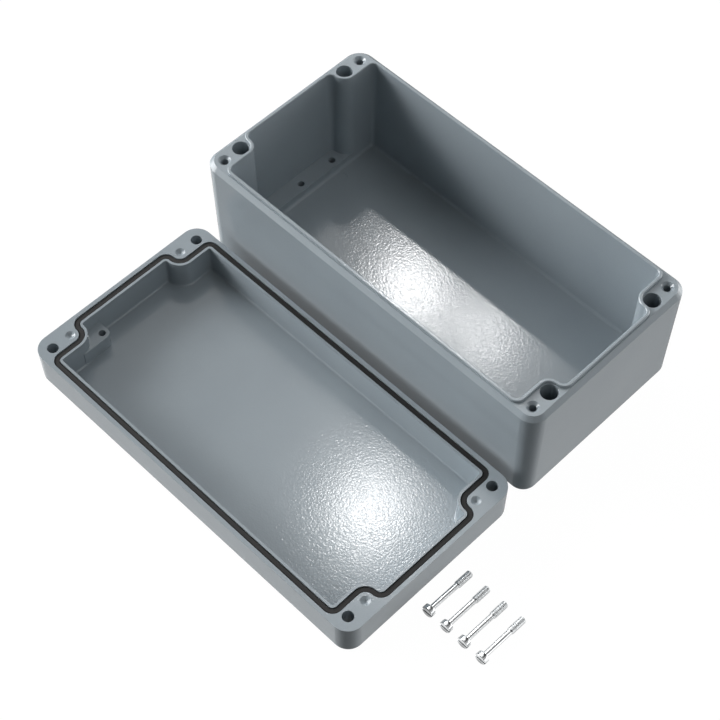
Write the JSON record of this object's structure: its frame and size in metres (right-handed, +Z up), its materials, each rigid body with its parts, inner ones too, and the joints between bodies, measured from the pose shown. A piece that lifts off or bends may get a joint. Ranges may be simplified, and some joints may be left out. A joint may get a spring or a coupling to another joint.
{
  "type": "die cast aluminium box",
  "caption": "Die cast aluminium enclosure, opened: deep base with corner bosses and sealing tongue, lid with gasket lying beside it inside up, and its loose lid screws.",
  "frame": {"origin": "middle of the base's underside, on the plane that everything lies on", "axes": "+X along the box's length, +Z up; the lid lies on the -Y side, the screws at the lid's +X end"},
  "size_m": [0.2903, 0.2476, 0.0723],
  "materials": {
    "coated_aluminium": "grey powder coat, gloss, with a light orange peel",
    "gasket_rubber": "matt",
    "screw_steel": "polished stainless steel"
  },
  "bodies": {
    "root": {"base": "coated_aluminium", "lid": "coated_aluminium", "gasket": "gasket_rubber", "lid_screw_1": "screw_steel", "lid_screw_2": "screw_steel", "lid_screw_3": "screw_steel", "lid_screw_4": "screw_steel"}
  },
  "joints": []
}
